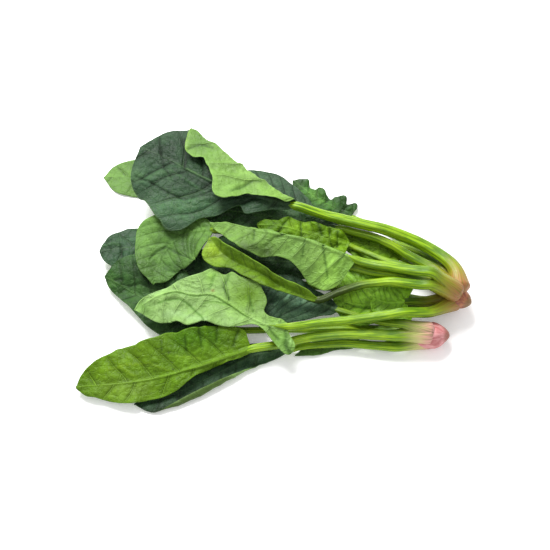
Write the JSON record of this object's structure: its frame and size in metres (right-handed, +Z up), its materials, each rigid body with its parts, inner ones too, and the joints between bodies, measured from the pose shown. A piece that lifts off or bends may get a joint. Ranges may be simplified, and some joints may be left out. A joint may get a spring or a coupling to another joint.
{
  "type": "spinach bunch",
  "caption": "Bunch of fresh leaf spinach lying on a surface: long-stalked, waved leaves fanned from two pinkish cut crowns, for food display and cooking scenes.",
  "frame": {"origin": "middle of the bunch's outline seen from above, on the surface that it lies on", "axes": "+X along the bunch towards the cut crowns, -X towards the leaf tips, +Y across the bunch, +Z up"},
  "size_m": [0.2746, 0.2178, 0.0438],
  "materials": {
    "leaf_dark": "satin",
    "leaf_mid": "satin",
    "leaf_bright": "satin",
    "leaf_pale": "matte",
    "stalk_green": "satin",
    "crown_russet": "satin",
    "crown_rose": "satin"
  },
  "bodies": {
    "root": {"upper_crown": "crown_russet", "lower_crown": "crown_rose", "top_blade": "leaf_dark", "top_stalk": "stalk_green", "saddle_blade": "leaf_pale", "saddle_stalk": "stalk_green", "boat_blade": "leaf_bright", "boat_stalk": "stalk_green", "pale_blade": "leaf_pale", "pale_stalk": "stalk_green", "middle_left_blade": "leaf_mid", "middle_left_stalk": "stalk_green", "crisp_blade": "leaf_bright", "crisp_stalk": "stalk_green", "shaded_blade": "leaf_dark", "shaded_stalk": "stalk_green", "grey_blade": "leaf_dark", "grey_stalk": "stalk_green", "core_blade": "leaf_dark", "core_stalk": "stalk_green", "heart_small_blade": "leaf_bright", "heart_small_stalk": "stalk_green", "heart_blade": "leaf_bright", "heart_stalk": "stalk_green", "small_ruffled_blade": "leaf_bright", "small_ruffled_stalk": "stalk_green", "back_blade": "leaf_dark", "back_stalk": "stalk_green", "long_blade": "leaf_bright", "long_stalk": "stalk_green", "rolled_blade": "leaf_dark", "rolled_stalk": "stalk_green", "left_under_blade": "leaf_mid", "left_under_stalk": "stalk_green", "left_tip_blade": "leaf_dark", "left_tip_stalk": "stalk_green", "far_tip_blade": "leaf_pale", "far_tip_stalk": "stalk_green", "back_ruffled_blade": "leaf_mid", "back_ruffled_stalk": "stalk_green", "under_blade": "leaf_mid", "under_stalk": "stalk_green"}
  },
  "joints": []
}
